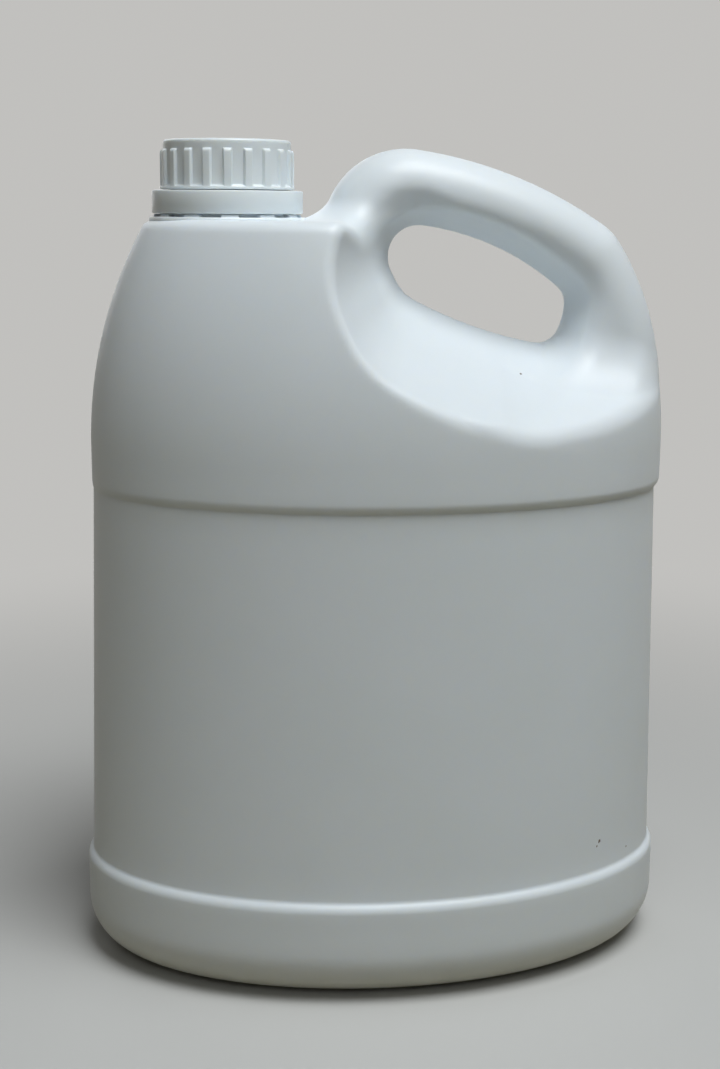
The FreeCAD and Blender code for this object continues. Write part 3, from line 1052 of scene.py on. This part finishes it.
class Board:
    """The node tree of a material or a world, wired by name."""

    def __init__(self, owner: bpy.types.Material | bpy.types.World) -> None:
        """Start with the owner's tree empty."""
        owner.use_nodes = True
        self.owner = owner
        self.tree = owner.node_tree
        self.tree.nodes.clear()

    def node(
        self, kind: str, settings: dict[str, object] | None = None, **inputs: object
    ) -> bpy.types.Node:
        """Add a node.

        Args:
            kind: the node's type.
            settings: the node's own properties.
            inputs: values or output sockets for its inputs, by the input's name with
                underscores for spaces, or by its number after an underscore.

        Returns:
            The new node.
        """
        made = self.tree.nodes.new(kind)
        for name, value in (settings or {}).items():
            setattr(made, name, value)
        for name, value in inputs.items():
            key = int(name[1:]) if name.startswith("_") else name.replace("_", " ")
            socket = made.inputs[key]
            if isinstance(value, bpy.types.NodeSocket):
                self.tree.links.new(value, socket)
            else:
                socket.default_value = value
        return made

    def maths(self, operation: str, *terms: object) -> bpy.types.NodeSocket:
        """The result of a maths node on values or sockets."""
        inputs = {f"_{number}": term for number, term in enumerate(terms)}
        return self.node("ShaderNodeMath", {"operation": operation}, **inputs).outputs[0]

    def noise(
        self, place: bpy.types.NodeSocket, size: float, detail: float = 2.0
    ) -> bpy.types.NodeSocket:
        """The value of noise whose lumps have a size in millimetres."""
        kind = "ShaderNodeTexNoise"
        return self.node(kind, Vector=place, Scale=1 / (size * MM), Detail=detail).outputs[0]

    def ramp(self, value: object, *limits: float) -> bpy.types.NodeSocket:
        """A smooth change over the first two limits, from nought to one or between two more."""
        inputs = {f"_{number}": term for number, term in enumerate((value, *limits))}
        settings = {"interpolation_type": "SMOOTHSTEP"}
        return self.node("ShaderNodeMapRange", settings, **inputs).outputs[0]

    def seen(self) -> bpy.types.NodeSocket:
        """One for rays from the camera, straight, mirrored or through, and nought for others."""
        path = self.node("ShaderNodeLightPath").outputs
        either = self.maths("ADD", path["Is Camera Ray"], path["Is Glossy Ray"])
        return self.maths("ADD", either, path["Is Transmission Ray"])

    def mix(self, share: object, first: object, second: object) -> bpy.types.NodeSocket:
        """The mix of two colours."""
        settings = {"data_type": "RGBA", "clamp_factor": True}
        return self.node("ShaderNodeMix", settings, _0=share, _6=first, _7=second).outputs[2]


@dataclass(frozen=True)
class Speck:
    """A tiny fleck of dirt caught on the surface."""

    place: tuple[float, float, float]
    radius: float


@dataclass(frozen=True)
class Plastic:
    """A satin moulded plastic with faint clouding, a fine grain and a parting line."""

    name: str
    tint: tuple[float, float, float]
    clouded: tuple[float, float, float]
    roughness: float
    depth_glow: float
    glow_reach: float
    grain_size: float
    grain_height: float
    wave_size: float
    wave_height: float
    seam_width: float = 0.0
    seam_height: float = 0.0
    cloud_size: float = 45.0
    cloud_limits: tuple[float, float] = (0.35, 0.68)
    patch_size: float = 9.0
    patch_change: float = 0.06
    specks: tuple[Speck, ...] = ()
    dirt: tuple[float, float, float] = (0.16, 0.13, 0.10)
    dirt_grain: float = 0.6

    def material(self) -> bpy.types.Material:
        """The finish as a material on object coordinates."""
        board = Board(bpy.data.materials.new(self.name))
        place = board.node("ShaderNodeTexCoord").outputs["Object"]
        cloud = board.ramp(board.noise(place, self.cloud_size, detail=4.0), *self.cloud_limits)
        colour = board.mix(cloud, (*self.tint, 1), (*self.clouded, 1))
        for speck in self.specks:
            settings = {"operation": "DISTANCE"}
            spot = tuple(size * MM for size in speck.place)
            apart = board.node("ShaderNodeVectorMath", settings, _0=place, _1=spot)
            grain = board.noise(place, self.dirt_grain)
            ragged = board.maths("MULTIPLY", grain, 2 * speck.radius * MM)
            share = board.maths("LESS_THAN", apart.outputs["Value"], ragged)
            colour = board.mix(share, colour, (*self.dirt, 1))
        patches = board.noise(place, self.patch_size, detail=3.0)
        smoothest = self.roughness - self.patch_change / 2
        rough = board.maths("MULTIPLY_ADD", patches, self.patch_change, smoothest)
        heights = board.maths("MULTIPLY", board.noise(place, self.grain_size), self.grain_height)
        wave = board.noise(place, self.wave_size, detail=1.0)
        wave = board.maths("MULTIPLY", wave, self.wave_height)
        heights = board.maths("ADD", heights, wave)
        if self.seam_height:
            across = board.node("ShaderNodeSeparateXYZ", Vector=place).outputs["Y"]
            limits = (0.0, self.seam_width * MM, self.seam_height, 0.0)
            seam = board.ramp(board.maths("ABSOLUTE", across), *limits)
            heights = board.maths("ADD", heights, seam)
        bump = board.node("ShaderNodeBump", Height=heights, Distance=MM, Strength=1.0)
        shader = board.node(
            "ShaderNodeBsdfPrincipled",
            Base_Color=colour,
            Roughness=rough,
            IOR=1.54,
            Normal=bump.outputs[0],
            Subsurface_Weight=self.depth_glow,
            Subsurface_Radius=(1.0, 0.92, 0.80),
            Subsurface_Scale=self.glow_reach * MM,
        )
        board.node("ShaderNodeOutputMaterial", Surface=shader.outputs[0])
        return board.owner


@dataclass(frozen=True)
class Foam:
    """Fine-celled foam sheet."""

    name: str = "foam_sheet"
    tint: tuple[float, float, float] = (0.84, 0.84, 0.82)
    cell_size: float = 0.5
    cell_height: float = 0.05
    relief: float = 0.6
    shadow: float = 0.9
    roughness: float = 0.75

    def material(self) -> bpy.types.Material:
        """The finish as a material on object coordinates."""
        board = Board(bpy.data.materials.new(self.name))
        place = board.node("ShaderNodeTexCoord").outputs["Object"]
        settings = {"feature": "F1"}
        cells = board.node(
            "ShaderNodeTexVoronoi", settings, Vector=place, Scale=1 / (self.cell_size * MM)
        ).outputs[0]
        shadow = tuple(value * self.shadow for value in self.tint)
        colour = board.mix(cells, (*shadow, 1), (*self.tint, 1))
        relief = {"Distance": self.cell_height * MM, "Strength": self.relief}
        bump = board.node("ShaderNodeBump", Height=cells, **relief)
        shader = board.node(
            "ShaderNodeBsdfPrincipled",
            Base_Color=colour,
            Roughness=self.roughness,
            Normal=bump.outputs[0],
        )
        board.node("ShaderNodeOutputMaterial", Surface=shader.outputs[0])
        return board.owner


BLOWN = Plastic(
    name="blown_polyethylene",
    tint=(0.80, 0.86, 0.905),
    clouded=(0.785, 0.845, 0.88),
    roughness=0.43,
    depth_glow=0.6,
    glow_reach=2.5,
    grain_size=0.7,
    grain_height=0.006,
    wave_size=22.0,
    wave_height=0.12,
    seam_width=0.35,
    seam_height=0.10,
    specks=(
        Speck((43.3, -20.7, 197.5), 0.36),
        Speck((70.0, -40.1, 45.4), 0.55),
        Speck((69.0, -40.7, 43.9), 0.32),
        Speck((81.8, -31.0, 39.2), 0.30),
    ),
)
MOULDED = Plastic(
    name="moulded_polypropylene",
    tint=(0.80, 0.855, 0.88),
    clouded=(0.785, 0.84, 0.865),
    roughness=0.36,
    depth_glow=0.5,
    glow_reach=1.5,
    grain_size=0.5,
    grain_height=0.004,
    wave_size=9.0,
    wave_height=0.03,
)


# ---------------------------------------------------------------- studio


@dataclass(frozen=True)
class Lamp:
    """A square soft light that faces a point of the bottle; its places are metres."""

    name: str
    place: tuple[float, float, float]
    side: float
    power: float
    colour: tuple[float, float, float]
    aim: tuple[float, float, float] = (0.0, 0.0, 0.15)

    def hang(self) -> None:
        """Add the lamp to the scene."""
        data = bpy.data.lights.new(self.name, "AREA")
        data.shape = "SQUARE"
        data.size = self.side
        data.energy = self.power
        data.color = self.colour
        lamp = bpy.data.objects.new(self.name, data)
        lamp.location = self.place
        way = Vector(self.aim) - Vector(self.place)
        lamp.rotation_euler = way.to_track_quat("-Z", "Y").to_euler()
        bpy.context.scene.collection.objects.link(lamp)


@dataclass(frozen=True)
class Studio:
    """A pale sweep, soft lamps and the camera.

    The sweep is seen in the shown colour near the bottle and in the distant one further
    off, as the surround is, while cast and surround are the light that they throw back.
    """

    camera_place: tuple[float, float, float] = (-64.7, -506.8, 249.4)
    turn: float = 0.116
    pitch: float = 0.2085
    roll: float = 0.008
    lens: float = 52.2
    shown: tuple[float, float, float] = (0.58, 0.575, 0.56)
    distant: tuple[float, float, float] = (0.535, 0.53, 0.515)
    cast: tuple[float, float, float] = (0.28, 0.25, 0.18)
    surround: tuple[float, float, float] = (0.035, 0.032, 0.026)
    fade: tuple[float, float] = (0.14, 0.60)
    floor_size: float = 7.0
    backdrop_height: float = 3.0
    bend: float = 2.0
    lamps: tuple[Lamp, ...] = (
        Lamp("key", (0.27, -0.50, 1.50), 0.8, 20.0, (0.94, 0.98, 1.0)),
        Lamp("front", (-0.15, -1.65, 1.42), 0.6, 3.0, (0.93, 0.98, 1.0)),
        Lamp("back", (-0.45, 1.55, 0.60), 0.9, 3.0, (0.97, 0.98, 1.0)),
    )

    def set_up(self) -> None:
        """Build the sweep, the lamps, the world and the camera."""
        self.lay_sweep()
        self.light_world()
        for lamp in self.lamps:
            lamp.hang()
        self.place_camera()
        bpy.context.scene.view_settings.view_transform = "Standard"

    def lay_sweep(self) -> None:
        """A floor that curves up into a backdrop far behind the bottle."""
        deselect_all()
        bpy.ops.mesh.primitive_plane_add(size=self.floor_size)
        sweep = bpy.context.object
        sweep.name = "sweep"
        with editing(sweep):
            bpy.ops.mesh.select_all(action="DESELECT")
            cage = bmesh.from_edit_mesh(sweep.data)
            back = max(cage.edges, key=lambda edge: sum(v.co.y for v in edge.verts))
            back.select_set(True)
            rise = {"value": (0, 0, self.backdrop_height)}
            bpy.ops.mesh.extrude_edges_move(TRANSFORM_OT_translate=rise)
            bpy.ops.mesh.select_all(action="DESELECT")
            for edge in bmesh.from_edit_mesh(sweep.data).edges:
                edge.select_set(all(v.co.y > self.bend > v.co.z for v in edge.verts))
            bpy.ops.mesh.bevel(offset=self.bend, segments=24)
        shade(sweep, angle=60)
        sweep.data.materials.append(self.sweep_material())

    def sweep_material(self) -> bpy.types.Material:
        """Matt paper: pale to look at, and darker in the light that it throws back."""
        board = Board(bpy.data.materials.new("sweep_paper"))
        place = board.node("ShaderNodeTexCoord").outputs["Object"]
        apart = board.node("ShaderNodeVectorMath", {"operation": "LENGTH"}, _0=place)
        share = board.ramp(apart.outputs["Value"], *self.fade)
        near = board.node("ShaderNodeBsdfDiffuse", Color=(*self.shown, 1)).outputs[0]
        far = board.node("ShaderNodeEmission", Color=(*self.distant, 1)).outputs[0]
        pale = board.node("ShaderNodeMixShader", _0=share, _1=near, _2=far).outputs[0]
        dark = board.node("ShaderNodeBsdfDiffuse", Color=(*self.cast, 1)).outputs[0]
        surface = board.node("ShaderNodeMixShader", _0=board.seen(), _1=dark, _2=pale).outputs[0]
        board.node("ShaderNodeOutputMaterial", Surface=surface)
        return board.owner

    def light_world(self) -> None:
        """A surround that is pale to look at and dim in the light that it gives."""
        board = Board(bpy.data.worlds.new("surround"))
        colour = board.mix(board.seen(), (*self.surround, 1), (*self.distant, 1))
        background = board.node("ShaderNodeBackground", Color=colour)
        board.node("ShaderNodeOutputWorld", Surface=background.outputs[0])
        bpy.context.scene.world = board.owner

    def place_camera(self) -> None:
        """Set the camera a little above the shoulder, in front and to the left."""
        data = bpy.data.cameras.new("camera")
        data.lens = self.lens
        data.sensor_width = 36.0
        data.clip_start = 0.02
        camera = bpy.data.objects.new("camera", data)
        camera.matrix_world = (
            Matrix.Translation(Vector(self.camera_place) * MM)
            @ Matrix.Rotation(-self.turn, 4, "Z")
            @ Matrix.Rotation(math.pi / 2 - self.pitch, 4, "X")
            @ Matrix.Rotation(self.roll, 4, "Z")
        )
        bpy.context.scene.collection.objects.link(camera)
        bpy.context.scene.camera = camera


def dress_liner(foam: Foam) -> None:
    """Give the liner's own node its foam finish."""
    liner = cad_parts["cap_liner"]
    liner.data.materials.clear()
    liner.data.materials.append(foam.material())
    log.info("cap_liner: the frame's own solid, in foam")


def main() -> None:
    """Build the pieces in order, report each and set the studio."""
    logging.basicConfig(level=logging.INFO, format="%(message)s")
    Bottle(BLOWN).build()
    TamperRing(MOULDED).build()
    ScrewCap(MOULDED).build()
    dress_liner(Foam())
    Studio().set_up()


if __name__ == "__main__":
    main()
